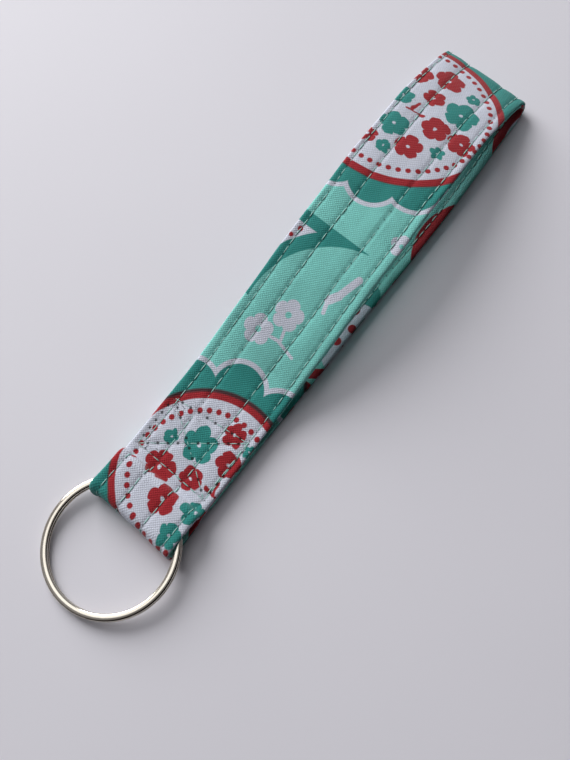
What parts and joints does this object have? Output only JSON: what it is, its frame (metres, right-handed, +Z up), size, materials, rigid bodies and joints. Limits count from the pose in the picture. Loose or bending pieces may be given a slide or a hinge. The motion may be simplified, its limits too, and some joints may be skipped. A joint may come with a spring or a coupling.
{
  "type": "wristlet keychain",
  "caption": "Quilted cotton band doubled into a wrist loop, with a box-stitched keeper that holds a split ring at one end.",
  "frame": {"origin": "on the table, under the middle of the whole object's bounding box", "axes": "+Y along the band from the ring to the far crease, +X across the band, +Z up"},
  "size_m": [0.035, 0.1761, 0.017],
  "materials": {
    "printed_cotton": "printed plain-weave quilting cotton, matt, in mint, sea green, red and white",
    "interlining": "fused non-woven interlining, matt",
    "thread": "pale mint polyester sewing thread, slight sheen",
    "ring": "bright nickel plating on spring steel"
  },
  "bodies": {
    "strap": {"strap_cover": "printed_cotton", "strap_interlining": "interlining", "tail_cover": "printed_cotton", "tail_interlining": "interlining", "topstitch_row_1": "thread", "topstitch_row_2": "thread", "topstitch_row_3": "thread", "topstitch_row_4": "thread", "box_x_stitch": "thread"},
    "keeper": {"keeper_cover": "printed_cotton", "keeper_interlining": "interlining", "keeper_topstitch": "thread"},
    "ring": {"split_ring": "ring"}
  },
  "joints": [
    {"name": "keeper_bend", "type": "hinge", "parent": "strap", "child": "keeper", "pos_m": [0, -0.05014, 0.003], "axis": [-1, 0, 0], "range_deg": [-60, 60]},
    {"name": "ring_spin", "type": "hinge", "parent": "keeper", "child": "ring", "pos_m": [0, -0.07054, 0.00258], "axis": [-0.0435, -0.0776, 0.996], "continuous": true}
  ]
}
